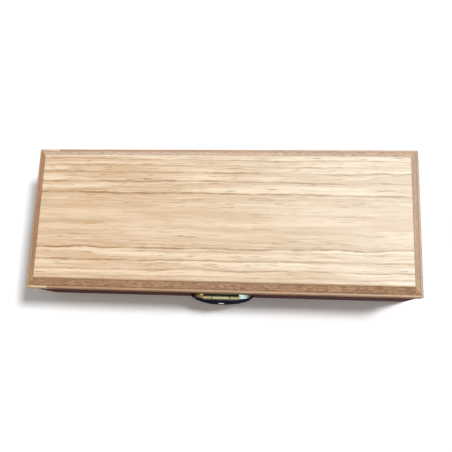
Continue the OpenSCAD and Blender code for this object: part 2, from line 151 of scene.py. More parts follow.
class BoxStage(bpy.types.PropertyGroup):
    """Camera, lamps and floor."""
    floor: size("Floor", "Width of the floor", 6.0)
    key: share("Key", "Share of the light that comes from the lamp", 0.65, 2.0)
    fill: share("Fill", "Share of the light that comes from all round", 0.24, 2.0)
    kicker: share("Kicker", "Share of the light that comes low from the left", 0.08)
    key_slope_x: FloatProperty(name="Key to the right", default=0.565,
                               description="Lean of the lamp to the right for each unit up")
    key_slope_y: FloatProperty(name="Key to the back", default=0.2,
                               description="Lean of the lamp to the back for each unit up")
    key_width: FloatProperty(name="Key width", description="Angle that the lamp covers",
                             default=math.radians(10), subtype="ANGLE", unit="ROTATION")
    lens: FloatProperty(name="Lens", description="Focal length of the camera in millimetres",
                        default=43.356, min=1.0)


# Shader helpers

def feed(tree, socket, value):
    """Joins a socket to another, or gives it a plain value."""
    if isinstance(value, bpy.types.NodeSocket):
        tree.links.new(value, socket)
    elif socket.type == "RGBA":
        socket.default_value = (*value[:3], 1.0)
    else:
        socket.default_value = value


def add(tree, kind, links=None, **settings):
    """One shader node with its settings, and each input either joined to a socket or given a value."""
    made = tree.nodes.new(kind)
    for key, value in settings.items():
        setattr(made, key, value)
    for key, value in (links or {}).items():
        feed(tree, made.inputs[key], value)
    return made


def calc(tree, operation, first, second=0.0, third=0.0, clamp=False):
    """The result of a Math node."""
    made = add(tree, "ShaderNodeMath", {0: first, 1: second, 2: third}, operation=operation, use_clamp=clamp)
    return made.outputs[0]


def product(tree, first, *others, clamp=False):
    """Values multiplied together, and held between 0 and 1 at the end where the product is clamped."""
    *inner, last = others
    for value in inner:
        first = calc(tree, "MULTIPLY", first, value)
    return calc(tree, "MULTIPLY", first, last, clamp=clamp)


def span(tree, value, low, high, to_low=0.0, to_high=1.0, smooth=True):
    """A value carried from one range to another and held inside it."""
    made = add(tree, "ShaderNodeMapRange",
               {"Value": value, "From Min": low, "From Max": high, "To Min": to_low, "To Max": to_high},
               interpolation_type="SMOOTHSTEP" if smooth else "LINEAR", clamp=True)
    return made.outputs["Result"]


def blend(tree, factor, first, second):
    """Two colours mixed by a factor."""
    return add(tree, "ShaderNodeMix", {0: factor, 6: first, 7: second}, data_type="RGBA").outputs[2]


def layered(tree, base, layers):
    """A colour with others laid over it in turn, each through its own mask."""
    for mask, tint in layers:
        base = blend(tree, mask, base, tint)
    return base


def axes(tree, place):
    """The three parts of a place."""
    return add(tree, "ShaderNodeSeparateXYZ", {0: place}).outputs[:]


def joined(tree, x, y, z=0.0):
    """A place from its three parts."""
    return add(tree, "ShaderNodeCombineXYZ", {0: x, 1: y, 2: z}).outputs[0]


def distance(tree, first, second):
    """How far one place is from another."""
    made = add(tree, "ShaderNodeVectorMath", {0: first, 1: second}, operation="DISTANCE")
    return made.outputs["Value"]


def stretch(tree, place, scale, shift=(0.0, 0.0, 0.0)):
    """A place scaled by its own amount along each axis, for patterns that run with the grain."""
    made = add(tree, "ShaderNodeMapping", {"Vector": place, "Scale": scale, "Location": shift},
               vector_type="POINT")
    return made.outputs["Vector"]


def noise(tree, place, scale, detail, roughness, shift=(0.0, 0.0, 0.0)):
    """A noise value from 0 to 1, evenly spread about a half. Three scales draw it out along the axes."""
    if isinstance(scale, tuple):
        place = stretch(tree, place, scale, shift)
        scale = 1.0
    made = add(tree, "ShaderNodeTexNoise",
               {"Vector": place, "Scale": scale, "Detail": detail, "Roughness": roughness},
               noise_dimensions="3D", noise_type="FBM", normalize=True)
    return made.outputs["Fac"]


def group(name, inputs, outputs):
    """An empty shader group that takes a place and named numbers: its tree and the sockets at both ends."""
    tree = bpy.data.node_groups.new(name, "ShaderNodeTree")
    tree.interface.new_socket("Place", in_out="INPUT", socket_type="NodeSocketVector")
    for label, value in inputs.items():
        made = tree.interface.new_socket(label, in_out="INPUT", socket_type="NodeSocketFloat")
        made.default_value = value
    for label in outputs:
        tree.interface.new_socket(label, in_out="OUTPUT", socket_type="NodeSocketFloat")
    given = tree.nodes.new("NodeGroupInput")
    out = tree.nodes.new("NodeGroupOutput")
    return tree, given.outputs, out.inputs


@functools.cache
def fibre_group():
    """Fine streaks along the first axis: pale and dark fibres, and short dark pores."""
    tree, given, out = group("wood fibre", {"Fibre Length": 25.0, "Pore Length": 6.0, "Pore Share": 0.4,
                                            "Crowding": 0.5}, ("Fibre", "Pores"))
    pore_narrowing = 1.4
    pore_sharpness = 14.0
    x, y, z = axes(tree, given["Place"])
    fibre = joined(tree, calc(tree, "DIVIDE", x, given["Fibre Length"]), y, z)
    streak = noise(tree, fibre, 1.9, 3.0, 0.6)
    pore = joined(tree, calc(tree, "DIVIDE", x, given["Pore Length"]),
                  product(tree, y, pore_narrowing), product(tree, z, pore_narrowing))
    spots = noise(tree, pore, 1.0, 1.0, 0.5)
    limit = calc(tree, "SUBTRACT", 0.74, product(tree, given["Pore Share"], 0.2))
    crowd = product(tree, calc(tree, "SUBTRACT", given["Crowding"], 0.5), 0.16)
    over = calc(tree, "SUBTRACT", spots, calc(tree, "SUBTRACT", limit, crowd))
    tree.links.new(streak, out["Fibre"])
    tree.links.new(product(tree, over, pore_sharpness, clamp=True), out["Pores"])
    return tree


def fibres(tree, place, fibre_length, pore_length, pore_share, crowding=0.5):
    """Fibres and pores of wood, with their lengths in millimetres."""
    made = add(tree, "ShaderNodeGroup", {
        "Place": place, "Fibre Length": fibre_length, "Pore Length": pore_length,
        "Pore Share": pore_share, "Crowding": crowding}, node_tree=fibre_group())
    return made.outputs["Fibre"], made.outputs["Pores"]


@functools.cache
def patch_group():
    """Soft patches of unlike tone, as in stained or handled wood."""
    tree, given, out = group("tone patches", {"Width": 20.0}, ("Patch",))
    wide = add(tree, "ShaderNodeVectorMath",
               {0: given["Place"], "Scale": calc(tree, "DIVIDE", 1.0, given["Width"])}, operation="SCALE")
    tree.links.new(noise(tree, wide.outputs[0], 1.0, 3.0, 0.55), out["Patch"])
    return tree


def patches(tree, place, width):
    """Patches of tone, with their width in millimetres."""
    made = add(tree, "ShaderNodeGroup", {"Place": place, "Width": width}, node_tree=patch_group())
    return made.outputs["Patch"]


@functools.cache
def rim_group():
    """A thin line on both sides of a height, broken up a little along its way."""
    tree, given, out = group("edge line", {"Height": 0.0, "Width": 0.4, "Break": 0.3}, ("Line",))
    height = axes(tree, given["Place"])[2]
    gap = calc(tree, "ABSOLUTE", calc(tree, "SUBTRACT", height, given["Height"]))
    line = calc(tree, "SUBTRACT", 1.0, calc(tree, "DIVIDE", gap, given["Width"]), clamp=True)
    broken = product(tree, noise(tree, given["Place"], 0.35, 3.0, 0.6), 1.6)
    kept = calc(tree, "SUBTRACT", 1.0, product(tree, given["Break"], broken), clamp=True)
    tree.links.new(product(tree, line, kept), out["Line"])
    return tree


def rim(tree, place, height, width, gaps):
    """A thin broken line at a height in millimetres."""
    made = add(tree, "ShaderNodeGroup", {"Place": place, "Height": height, "Width": width, "Break": gaps},
               node_tree=rim_group())
    return made.outputs["Line"]


def material(name):
    """A new material with its tree, its Principled BSDF and its Object coordinates in millimetres."""
    made = bpy.data.materials.new(name)
    made.use_nodes = True
    tree = made.node_tree
    shader = next(node for node in tree.nodes if node.type == "BSDF_PRINCIPLED")
    place = add(tree, "ShaderNodeTexCoord").outputs["Object"]
    return made, tree, shader, stretch(tree, place, (1 / MM, 1 / MM, 1 / MM))


def surface(tree, shader, tint, rough, height, strength, depth):
    """Gives a shader its colour, its roughness and its bump, which is as deep as a length in metres."""
    bump = add(tree, "ShaderNodeBump", {"Height": height, "Strength": strength, "Distance": depth})
    tree.links.new(tint, shader.inputs["Base Color"])
    tree.links.new(rough, shader.inputs["Roughness"])
    tree.links.new(bump.outputs["Normal"], shader.inputs["Normal"])


# Wood

# Tan wood and dark lines of the growth rings, as pairs of a ring's radius in millimetres and a share. The
# radius is RINGS_START along the grain's middle line, near the left end.
RINGS_START, RINGS_END = 12.0, 40.0
TAN_OF_RINGS = (
    (12.0, 0.35), (14.5, 0.5), (17.0, 0.75), (20.2, 1.0), (20.7, 0.25), (23.0, 0.0), (25.9, 0.9),
    (26.4, 0.2), (28.2, 0.05), (30.7, 0.9), (31.1, 0.15), (33.2, 0.3), (34.3, 0.9), (34.8, 0.1),
    (36.8, 0.4), (37.8, 0.9), (38.4, 0.2))
LINE_OF_RINGS = (
    (12.0, 0.0), (12.15, 0.25), (12.5, 0.0), (17.2, 0.0), (17.6, 0.25), (17.9, 0.0), (19.6, 0.0),
    (20.1, 1.0), (20.45, 1.0), (20.8, 0.0), (25.6, 0.0), (26.0, 0.85), (26.25, 0.85), (26.6, 0.0),
    (30.4, 0.0), (30.8, 0.9), (31.05, 0.9), (31.4, 0.0), (34.0, 0.0), (34.35, 0.6), (34.7, 0.0),
    (37.5, 0.0), (37.85, 0.7), (38.3, 0.0))
# Scale along the grain, scale over it and share of the grain's wave, from long bends to short ones.
BENDS = ((0.016, 0.035, 2.4), (0.07, 0.12, 1.0), (0.2, 0.4, 0.3))


def by_ring(tree, rings, stops):
    """A share read from a ramp over the growth rings, whose stops are pairs of a radius and a share."""
    along_ramp = span(tree, rings, RINGS_START, RINGS_END, smooth=False)
    made = add(tree, "ShaderNodeValToRGB", {"Fac": along_ramp})
    band = made.color_ramp
    while len(band.elements) < len(stops):
        band.elements.new(1.0)
    for element, (radius, value) in zip(band.elements, stops):
        element.position = (radius - RINGS_START) / (RINGS_END - RINGS_START)
        element.color = (value, value, value, 1.0)
    return made.outputs["Color"]


def growth_rings(tree, place, wood):
    """The grain of a flat-sawn sheet: a place measured along its wandering lines, and its ring's radius."""
    x, y, _ = axes(tree, place)
    across = calc(tree, "SUBTRACT", y, wood.ring_shift / MM)
    for number, (along, over, sway) in enumerate(BENDS):
        drift = noise(tree, place, (along, over, 0.0), 2.0, 0.5, (4.0 * number, 9.0 * number, 0.0))
        across = calc(tree, "MULTIPLY_ADD", calc(tree, "SUBTRACT", drift, 0.5), sway * wood.wave / MM, across)
    depth = wood.ring_depth / MM
    reach = calc(tree, "SQRT", calc(tree, "MULTIPLY_ADD", across, across, depth * depth))
    from_left = calc(tree, "ADD", x, 100.0)
    reach = calc(tree, "MULTIPLY_ADD", from_left, wood.ring_drift, reach)
    return joined(tree, x, across), calc(tree, "SUBTRACT", reach, depth - RINGS_START)


def veneer_material(wood):
    """Flat-sawn pale veneer: growth rings that close in along the lid, streaks and pores that follow them."""
    made, tree, shader, place = material("veneer")
    x = axes(tree, place)[0]
    grain, rings = growth_rings(tree, place, wood)
    wide = noise(tree, grain, (0.012, 0.16, 0.0), 1.0, 0.5, (1.0, 5.0, 0.0))
    strength = noise(tree, grain, (0.05, 0.2, 0.0), 3.0, 0.65, (7.0, 1.0, 0.0))
    strands = noise(tree, grain, (0.014, 0.6, 0.0), 2.0, 0.6, (3.0, 0.0, 0.0))
    hairs = noise(tree, grain, (0.03, 1.3, 0.0), 2.0, 0.6, (0.0, 7.0, 0.0))
    threads = noise(tree, grain, (0.03, 1.4, 0.0), 2.0, 0.6, (5.0, 2.0, 0.0))
    dashes = noise(tree, grain, (0.085, 2.2, 0.0), 1.0, 0.5, (11.0, 3.0, 0.0))
    line_share = by_ring(tree, rings, LINE_OF_RINGS)
    crowd = calc(tree, "MULTIPLY_ADD", line_share, 0.9, span(tree, x, 0.0, 80.0, 0.1, 0.45))
    fibre, pores = fibres(tree, grain, 30.0, 13.0, 0.45, crowd)
    # The middle rings are calmer than the rest, and the dark lines fade a little to the right.
    calm = span(tree, rings, 12.5, 18.0, 0.45, 1.0)
    fade = span(tree, x, -30.0, 110.0, 1.0, 0.8)

    pale, tan, line = (Vector(tint) for tint in (wood.veneer, wood.veneer_tan, wood.veneer_line))
    bright = pale.lerp(WHITE, 0.14)
    base = layered(tree, pale, (
        (by_ring(tree, rings, TAN_OF_RINGS), tan),
        (span(tree, wide, 0.42, 0.6), tan),
        (product(tree, span(tree, strands, 0.52, 0.68, 0.0, 0.75), calm), tan * 0.9),
        (product(tree, span(tree, strands, 0.3, 0.45, 0.6, 0.0), calm), bright),
        (product(tree, span(tree, hairs, 0.54, 0.7, 0.0, 0.4), calm), tan * 0.85),
        (product(tree, span(tree, hairs, 0.34, 0.47, 0.5, 0.0), calm), bright),
        (product(tree, line_share, span(tree, strength, 0.36, 0.62, 0.35, 1.0), fade), line * 0.74),
        (product(tree, span(tree, threads, 0.57, 0.66), span(tree, strength, 0.44, 0.64, 0.0, 0.8)),
         line * 0.9),
        (product(tree, span(tree, dashes, 0.61, 0.69), span(tree, strength, 0.38, 0.58, 0.2, 0.9), calm),
         line * 0.66),
        (product(tree, pores, fade, 0.5), line * 0.68)))
    height = calc(tree, "SUBTRACT", product(tree, fibre, 0.35), pores)
    surface(tree, shader, base, span(tree, fibre, 0.3, 0.7, 0.40, 0.52), height, 0.25, 0.06 * MM)
    return made


def board_material(wood):
    """Brown mottled board of the bevel, darker and pitted along its top and foot, with painted shade
    darkening its right end.
    """
    made, tree, shader, place = material("bevelled board")
    x, y, z = axes(tree, place)
    past_side = calc(tree, "SUBTRACT", calc(tree, "ABSOLUTE", x), (BOARD_HIGH.x - BOARD_HIGH.y) / MM)
    on_end = calc(tree, "GREATER_THAN", past_side, calc(tree, "ABSOLUTE", y))
    right_end_shade = product(tree, on_end, calc(tree, "GREATER_THAN", x, 0.0))
    # The pattern runs along the bevel, so it is turned on the ends.
    lay = add(tree, "ShaderNodeMix", {0: on_end, 4: place, 5: joined(tree, y, x, z)}, data_type="VECTOR")
    lay = lay.outputs[1]

    fibre, pores = fibres(tree, stretch(tree, lay, (1.0, 1.7, 1.7)), 4.5, 3.0, 0.75, 0.55)
    patch = patches(tree, stretch(tree, lay, (0.7, 2.2, 2.2)), 2.0)
    wide = patches(tree, stretch(tree, lay, (1.0, 2.0, 2.0)), 24.0)
    fleck = noise(tree, lay, (0.9, 2.6, 2.6), 1.0, 0.5, (3.0, 5.0, 0.0))
    # The ends are calmer than the long sides, and the right is busier than the left.
    calm = calc(tree, "MULTIPLY_ADD", on_end, -0.55, 1.0)
    busy = span(tree, x, 20.0, 95.0, 1.0, 1.3)
    top_line = rim(tree, place, BOARD_HIGH.z / MM, 0.85, 0.3)
    foot_line = rim(tree, place, BOARD_LOW.z / MM + 0.45, 0.5, 0.6)
    lines = calc(tree, "MAXIMUM", product(tree, top_line, 0.9), product(tree, foot_line, 0.9))
    front_left_mitre = (SHEET_LOW.x / MM - 0.7, SHEET_LOW.y / MM - 0.8, BOARD_HIGH.z / MM - 0.8)
    chip = span(tree, distance(tree, place, front_left_mitre), 0.9, 0.4, 0.0, 0.6)

    dark = Vector(wood.board_dark)
    worn = Vector(wood.board).lerp(WHITE, 0.2)
    bare_wood = (0.8, 0.72, 0.64)
    base = layered(tree, wood.board, (
        (product(tree, span(tree, patch, 0.4, 0.64, 0.0, 0.8), busy, calm, clamp=True), dark),
        (span(tree, wide, 0.35, 0.65, 0.0, 0.4), dark),
        (span(tree, fibre, 0.45, 0.66, 0.0, 0.5), worn),
        (product(tree, span(tree, fleck, 0.58, 0.7, 0.0, 0.75), calm), worn),
        (product(tree, pores, 0.8, calm, busy, clamp=True), dark * 0.8),
        (lines, dark * 0.75),
        # Painted shade: the right end of the bevel is darkened by 19 percent.
        (product(tree, right_end_shade, 0.19), BLACK),
        (chip, bare_wood)))
    height = calc(tree, "SUBTRACT", fibre, pores)
    surface(tree, shader, base, span(tree, fibre, 0.2, 0.8, 0.5, 0.62), height, 0.4, 0.08 * MM)
    return made


def cap_material(wood, name, ends_along_y, sawn_tint):
    """Light cap rails: long grain on the sides and open pores on the sawn ends."""
    made, tree, shader, place = material(name)
    x, y, z = axes(tree, place)
    lay = joined(tree, y, x, z) if ends_along_y else place
    fibre, pores = fibres(tree, lay, 18.0, 4.0, 0.55)
    patch = patches(tree, stretch(tree, lay, (0.5, 2.0, 2.0)), 14.0)
    tint = Vector(wood.cap)
    layers = [(span(tree, patch, 0.3, 0.72, 0.0, 0.5), tint * 0.62),
              (span(tree, fibre, 0.35, 0.7, 0.0, 0.35), tint * 1.18),
              (product(tree, pores, 0.5), tint * 0.62)]
    if ends_along_y:
        end_face, side_face = CAP_HIGH.y / MM, -CAP_LOW.x / MM
        sawn = span(tree, calc(tree, "ABSOLUTE", y), end_face - 1.25, end_face - 1.05)
        inward = span(tree, calc(tree, "ABSOLUTE", x), side_face, side_face - 3.5, 0.2, 1.0)
        dots = noise(tree, place, (1.6, 0.4, 1.6), 2.0, 0.6)
        end_grain = blend(tree, span(tree, dots, 0.5, 0.75, 0.0, 0.5), sawn_tint, Vector(sawn_tint) * 0.72)
        layers.append((product(tree, sawn, inward), end_grain))
    base = layered(tree, tint, layers)
    height = calc(tree, "SUBTRACT", fibre, pores)
    surface(tree, shader, base, span(tree, fibre, 0.2, 0.8, 0.45, 0.58), height, 0.4, 0.08 * MM)
    return made


def stained_material(wood, name, turned):
    """Dark stained wood with its grain just showing, paler along the split between lid and case, and with
    painted light greying it towards the right end.
    """
    made, tree, shader, place = material(name)
    x, y, z = axes(tree, place)
    lay = joined(tree, y, x, z) if turned else place
    fibre, pores = fibres(tree, lay, 22.0, 5.0, 0.6)
    patch = patches(tree, stretch(tree, lay, (0.4, 2.0, 2.0)), 16.0)
    split_line = rim(tree, place, CASE_HIGH.z / MM, 0.45, 0.9)
    stain = Vector(wood.case)
    painted_light_grey = (0.3, 0.28, 0.28)
    base = layered(tree, stain * 0.8, (
        (span(tree, patch, 0.3, 0.7), stain * 1.25),
        (span(tree, fibre, 0.4, 0.75, 0.0, 0.5), stain * 1.7),
        (product(tree, pores, 0.7), stain * 0.35),
        # Painted light: the stain turns greyer and paler towards the right end.
        (span(tree, x, 0.0, BOX_HIGH.x / MM, 0.0, 0.13), painted_light_grey),
        (product(tree, split_line, 0.45), stain * 3.0)))
    shader.inputs["Specular IOR Level"].default_value = 0.25
    height = calc(tree, "SUBTRACT", fibre, pores)
    surface(tree, shader, base, span(tree, fibre, 0.2, 0.8, 0.5, 0.65), height, 0.35, 0.08 * MM)
    return made


def sanding_share(start, end):
    """How far an edge of the wood is rounded, as a share of the most: outer edges most, joints least."""
    near = 0.05 * MM
    middle = (start + end) / 2
    length = (end - start).length
    by_end = abs(middle.x) > BOX_HIGH.x - 5 * MM
    # Short edges away from the ends belong to the hinges' cuts and to the holes for screws and nails.
    if length < 2 * MM and not by_end:
        return 0.0
    # Short edges by the ends make up the round of the upright corners.
    corner = length < 1 * MM and by_end
    level = abs(start.z - end.z) < near
    outside = [abs(abs(middle.x) - edge) < near for edge in (-CAP_LOW.x, -CASE_LOW.x)]
    outside += [abs(abs(middle.y) - edge) < near for edge in (CAP_HIGH.y, CASE_HIGH.y)]
    if level and (any(outside) or corner):
        return 1.0 if abs(middle.z - CAP_HIGH.z) < near or middle.z < near else 0.6
    if level and abs(middle.z - CASE_HIGH.z) < near:
        return 0.4
    return 0.0 if corner else 0.12


def board_share(start, end):
    """The same for the bevelled board and its veneer: the mitres and the veneer's top edge."""
    if abs(start.z - end.z) > 0.1 * MM:
        return 0.5
    return 0.3 if min(start.z, end.z) > SHEET_HIGH.z - 0.01 * MM else 0.0


def merged(node, rule):
    """A copy of a CAD solid with its triangles joined to faces, and each sharp edge's share of rounding."""
    same_place, same_plane = 0.001 * MM, math.radians(0.5)
    soft_turn, sharp_turn = math.radians(30), math.radians(35)
    bm = bmesh.new()
    bm.from_mesh(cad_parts[node].data)
    bmesh.ops.remove_doubles(bm, verts=bm.verts, dist=same_place)
    bmesh.ops.dissolve_limit(bm, angle_limit=same_plane, verts=bm.verts, edges=bm.edges)
    weight = bm.edges.layers.float.new("bevel_weight_edge")
    for face in bm.faces:
        face.smooth = True
        face.material_index = 0
    for edge in bm.edges:
        turn = edge.calc_face_angle(0.0)
        edge.smooth = turn < soft_turn
        if edge.is_convex and turn > sharp_turn:
            edge[weight] = rule(edge.verts[0].co, edge.verts[1].co)
    return bm


def finished(bm, name, body, finish):
    """A bmesh as a piece of the scene: on its body and with its material."""
    mesh = bpy.data.meshes.new(name)
    bm.to_mesh(mesh)
    bm.free()
    mesh.materials.append(finish)
    piece = bpy.data.objects.new(name, mesh)
    bpy.context.scene.collection.objects.link(piece)
    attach(piece, body)
    return piece


def rounded(bm, node, name, body, finish, width, segments):
    """A merged solid as a piece with its edges rounded, which stands for the solid."""
    piece = finished(bm, name, body, finish)
    rounding = piece.modifiers.new("rounding", "BEVEL")
    rounding.width = width
    rounding.segments = segments
    rounding.limit_method = "WEIGHT"
    rounding.harden_normals = True
    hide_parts(node)


def sanded(node, body, finish, wood, rule=sanding_share):
    """A wooden piece with its edges rounded as sanding does."""
    rounded(merged(node, rule), node, node + "_wood", body, finish, wood.sanding, 3)


def dress(nodes, finish):
    """Gives CAD pieces a material in their own slots."""
    for node in nodes:
        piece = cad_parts[node]
        for slot in piece.material_slots:
            slot.material = finish


class BOX_OT_lid_board(bpy.types.Operator):
    """Bevelled board of the lid and the veneer on it"""
    bl_idname = "box.lid_board"
    bl_label = "Lid board and veneer"

    def execute(self, context):
        wood = context.scene.box_wood
        sanded("lid_veneer", "lid", veneer_material(wood), wood, board_share)
        sanded("lid_core", "lid", board_material(wood), wood, board_share)
        return {"FINISHED"}


class BOX_OT_cap_rails(bpy.types.Operator):
    """Light rails under the board, butt-jointed with the end rails running through"""
    bl_idname = "box.cap_rails"
    bl_label = "Cap rails"

    def execute(self, context):
        wood = context.scene.box_wood
        long_grain = cap_material(wood, "cap long rails", False, wood.cap)
        for side in ("front", "back"):
            sanded("cap_rail_" + side, "lid", long_grain, wood)
        for side, tint in (("left", wood.cap_end), ("right", Vector(wood.cap) * 1.06)):
            end_grain = cap_material(wood, "cap " + side + " rail", True, tint)
            sanded("cap_end_" + side, "lid", end_grain, wood)
        return {"FINISHED"}


class BOX_OT_dark_rails(bpy.types.Operator):
    """Dark stained rails of the lid and the case, and the case's bottom"""
    bl_idname = "box.dark_rails"
    bl_label = "Dark rails and bottom"

    def execute(self, context):
        wood = context.scene.box_wood
        lengthwise = stained_material(wood, "stained long rails", False)
        crosswise = stained_material(wood, "stained end rails", True)
        for part, body in (("lid", "lid"), ("body", "case")):
            for side in ("front", "back"):
                sanded(part + "_rail_" + side, body, lengthwise, wood)
            for side in ("left", "right"):
                sanded(part + "_end_" + side, body, crosswise, wood)
        sanded("body_bottom", "case", lengthwise, wood)
        return {"FINISHED"}


# Brass

def barrel_masks(tree, side, behind_pin, over_pin, joints):
    """Where the brass is rolled round the catch's pin, the places round that barrel that carry painted shade,
    and its joints.

    All lengths are in millimetres: side is the distance from the middle of the box, and the next two are
    the distances behind the pin and over it.
    """
    pin_end, flap_end = PIN_HIGH.x / MM, FLAP_HIGH.x / MM
    squares = calc(tree, "MULTIPLY_ADD", behind_pin, behind_pin, product(tree, over_pin, over_pin))
    rolled = span(tree, calc(tree, "SQRT", squares), 1.65, 1.5)

    # Painted shade in the crevice between the lid's plate and the barrel.
    from_valley = calc(tree, "ABSOLUTE", calc(tree, "SUBTRACT", behind_pin, 1.75))
    along_pin = span(tree, side, pin_end + 0.4, pin_end + 0.1)
    valley_height = product(tree, span(tree, over_pin, -2.1, -1.7), span(tree, over_pin, 1.7, 2.4, 1.0, 0.82))
    valley_shade = product(tree, along_pin, span(tree, from_valley, 0.75, 0.45), valley_height)

    # Painted shade on the flap's shoulders beyond the barrel, growing towards their tips.
    under_lid = product(tree, span(tree, behind_pin, 0.15, 0.6), span(tree, behind_pin, 2.9, 2.4))
    past_pin = span(tree, side, pin_end + 0.1, pin_end + 0.4)
    to_tip = span(tree, side, pin_end + 1.5, flap_end - 1.5)
    shoulder_shade = product(tree, under_lid, past_pin, to_tip)

    from_joint = calc(tree, "ABSOLUTE", calc(tree, "SUBTRACT", side, joints / 2 / MM))
    joint = product(tree, span(tree, from_joint, 0.35, 0.15), rolled)
    return rolled, valley_shade, shoulder_shade, joint


def nib_highlight_mask(tree, x, y, z):
    """Where the flap's thumb nib carries a painted pale highlight."""
    from_y = calc(tree, "SUBTRACT", y, FLAP_LOW.y / MM + 0.8)
    from_z = calc(tree, "SUBTRACT", z, FLAP_LOW.z / MM + 10.4)
    squares = calc(tree, "MULTIPLY_ADD", from_y, from_y, product(tree, from_z, from_z))
    from_middle = calc(tree, "ABSOLUTE", calc(tree, "SUBTRACT", x, 0.6))
    return product(tree, span(tree, calc(tree, "SQRT", squares), 1.0, 0.8), span(tree, from_middle, 1.4, 1.1))


def brass_material(brass, name, satin, worn):
    """Brass with a brown film in patches, brushed where it rolls round the catch's pin, with painted shade
    round the catch's barrel and a painted highlight on its nib.
    """
    made, tree, shader, place = material(name)
    x, y, z = axes(tree, place)
    pin = (PIN_LOW + PIN_HIGH) / 2 / MM
    patch = patches(tree, place, 5.0)
    spots = noise(tree, place, 1.1, 4.0, 0.65)
    scratch = noise(tree, place, (0.6, 9.0, 9.0), 2.0, 0.6)
    film = product(tree, span(tree, patch, 0.42, 0.72), span(tree, spots, 0.4, 0.7))
    rolled, valley_shade, shoulder_shade, joint = barrel_masks(
        tree, calc(tree, "ABSOLUTE", x), calc(tree, "SUBTRACT", y, pin.y), calc(tree, "SUBTRACT", z, pin.z),
        brass.joints)

    tarnish_and_shade = Vector(brass.tarnish_and_shade)
    painted_highlight_tint = (0.5, 0.62, 0.62)
    barrel_blur = 0.38
    base = layered(tree, Vector(brass.brass).lerp(tarnish_and_shade, worn), (
        (product(tree, film, 0.45), tarnish_and_shade),
        (product(tree, rolled, 0.26), tarnish_and_shade),
        # Painted shade: nearly black in the crevice behind the barrel, and dark on the shoulders' tips.
        (valley_shade, tarnish_and_shade * 0.05),
        (product(tree, shoulder_shade, 0.95), tarnish_and_shade * 0.2),
        (product(tree, joint, 0.8), tarnish_and_shade * 0.4),
        # Painted highlight: a pale grey-green spot on the nib.
        (product(tree, nib_highlight_mask(tree, x, y, z), 0.9), painted_highlight_tint)))
    rough = calc(tree, "MULTIPLY_ADD", span(tree, scratch, 0.4, 0.7), 0.08, brass.roughness + satin)
    rough = calc(tree, "MULTIPLY_ADD", rolled, barrel_blur - satin, rough)
    rough = calc(tree, "MULTIPLY_ADD", film, 0.2, rough)
    shader.inputs["Metallic"].default_value = 1.0
    surface(tree, shader, base, rough, calc(tree, "MULTIPLY_ADD", scratch, 0.3, patch), 0.1, 0.03 * MM)
    return made


class BOX_OT_brass(bpy.types.Operator):
    """Brass of the hinges, their screws, the catch and its nails"""
    bl_idname = "box.brass"
    bl_label = "Hinges and catch"

    def execute(self, context):
        brass = context.scene.box_brass
        metal = [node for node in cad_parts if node.startswith(("hinge_", "latch_"))]
        fixings = [node for node in metal if "screws" in node or "nails" in node]
        polished = ["latch_flap", "latch_pin"]
        plates = [node for node in metal if node not in fixings + polished]
        dress(polished, brass_material(brass, "brass", 0.0, 0.0))
        dress(fixings, brass_material(brass, "worn brass", 0.1, brass.worn))
        dress(plates, brass_material(brass, "satin brass", brass.satin, 0.15))
        return {"FINISHED"}


# Linings

def threads_along(tree, place, scale, direction):
    """Even threads of a weave in one direction."""
    made = add(tree, "ShaderNodeTexWave", {"Vector": place, "Scale": scale, "Distortion": 0.6, "Detail": 1.0},
               wave_type="BANDS", bands_direction=direction)
    return made.outputs["Fac"]


def satin_material(lining):
    """Pale satin: a fine weave with soft puckers and a silky sheen."""
    made, tree, shader, place = material("satin")
    weave = product(tree, threads_along(tree, place, 0.9, "X"), threads_along(tree, place, 0.7, "Y"))
    crease = noise(tree, place, (0.12, 0.12, 0.12), 3.0, 0.6)
    tint = Vector(lining.satin)
    base = layered(tree, tint, (
        (span(tree, crease, 0.3, 0.7), tint * 0.93),
        (product(tree, weave, 0.12), tint * 0.7)))
    shader.inputs["Sheen Weight"].default_value = 0.3
    shader.inputs["Sheen Roughness"].default_value = 0.4
    height = calc(tree, "MULTIPLY_ADD", crease, 4.0, product(tree, weave, 0.4))
    surface(tree, shader, base, span(tree, weave, 0.0, 1.0, 0.32, 0.5), height, 0.3, 0.1 * MM)
    return made


def flock_material(lining):
    """Flocked foam: short upright fibres that catch the light, brushed in patches."""
    made, tree, shader, place = material("flocked foam")
    tuft = noise(tree, place, 3.2, 4.0, 0.7)
    nap = patches(tree, place, 13.0)
    tint = Vector(lining.foam)
    base = layered(tree, tint, (
        (span(tree, nap, 0.3, 0.7), tint * 1.9),
        (span(tree, tuft, 0.45, 0.75, 0.0, 0.5), tint * 3.0)))
    shader.inputs["Sheen Weight"].default_value = 0.6
    shader.inputs["Sheen Roughness"].default_value = 0.5
    height = calc(tree, "MULTIPLY_ADD", nap, 0.6, tuft)
    surface(tree, shader, base, span(tree, tuft, 0.3, 0.7, 0.85, 1.0), height, 0.8, 0.2 * MM)
    return made


def card_material(lining):
    """Grey-brown card with flecks of fibre."""
    made, tree, shader, place = material("card")
    fleck = noise(tree, place, (0.6, 2.4, 2.4), 4.0, 0.7)
    patch = patches(tree, place, 25.0)
    tint = Vector(lining.card)
    base = layered(tree, tint, (
        (span(tree, fleck, 0.35, 0.7, 0.0, 0.6), tint * 0.6),
        (span(tree, patch, 0.3, 0.7, 0.0, 0.4), tint * 1.3)))
    surface(tree, shader, base, span(tree, fleck, 0.3, 0.7, 0.75, 0.9), fleck, 0.3, 0.1 * MM)
    return made


def applied(piece):
    """Makes a piece's modifiers part of its mesh."""
    bpy.context.view_layer.update()
    graph = bpy.context.evaluated_depsgraph_get()
    mesh = bpy.data.meshes.new_from_object(piece.evaluated_get(graph), depsgraph=graph)
    piece.modifiers.clear()
    old = piece.data
    piece.data = mesh
    mesh.name = old.name
    bpy.data.meshes.remove(old)


